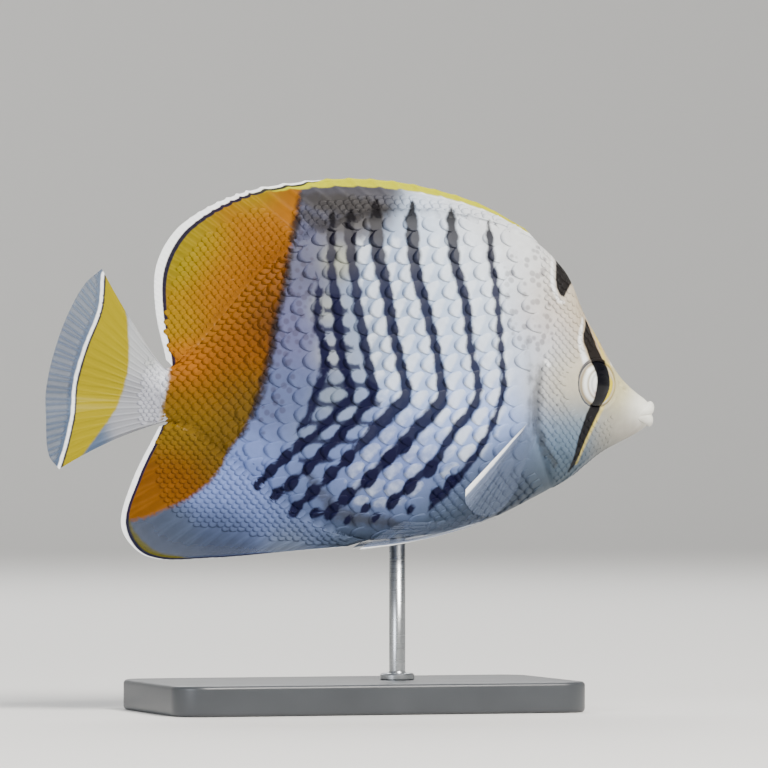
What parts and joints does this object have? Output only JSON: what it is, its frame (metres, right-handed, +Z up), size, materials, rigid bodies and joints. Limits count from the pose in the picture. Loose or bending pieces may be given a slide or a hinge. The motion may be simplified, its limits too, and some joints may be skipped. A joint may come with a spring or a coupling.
{
  "type": "seychelles butterflyfish",
  "caption": "Deep, flat reef fish with a pointed snout, dark zigzag lines, an orange rear and a banded tail, held level over a flat base by one short rod.",
  "frame": {"origin": "middle of the underside of the stand's base", "axes": "+X from tail to snout, +Z up from the base to the back, +Y to the fish's left side"},
  "size_m": [0.1249, 0.046, 0.1048],
  "materials": {
    "head_skin": "smooth, faintly shiny",
    "barred_skin": "scaled, faintly shiny",
    "orange_skin": "scaled, faintly shiny",
    "anal_fin_skin": "scaled, faintly shiny",
    "yellow_fin_edge": "scaled, faintly shiny",
    "tail_fin_skin": "satin",
    "clear_fin_skin": "satin",
    "eye_ring": "glossy",
    "pupil_black": "glossy",
    "base_lacquer": "black lacquer",
    "rod_steel": "brushed"
  },
  "bodies": {
    "root": {"head": "head_skin", "torso": "barred_skin", "tail_stalk": "orange_skin", "eye_left": "eye_ring", "eye_right": "eye_ring", "pupil_left": "pupil_black", "pupil_right": "pupil_black", "dorsal_fin_spiny": "yellow_fin_edge", "dorsal_fin_soft": "orange_skin", "anal_fin": "anal_fin_skin", "caudal_fin": "tail_fin_skin", "pectoral_fin_left": "clear_fin_skin", "pectoral_fin_right": "clear_fin_skin", "pelvic_fin_left": "clear_fin_skin", "pelvic_fin_right": "clear_fin_skin", "stand_base": "base_lacquer", "stand_rod": "rod_steel"}
  },
  "joints": []
}
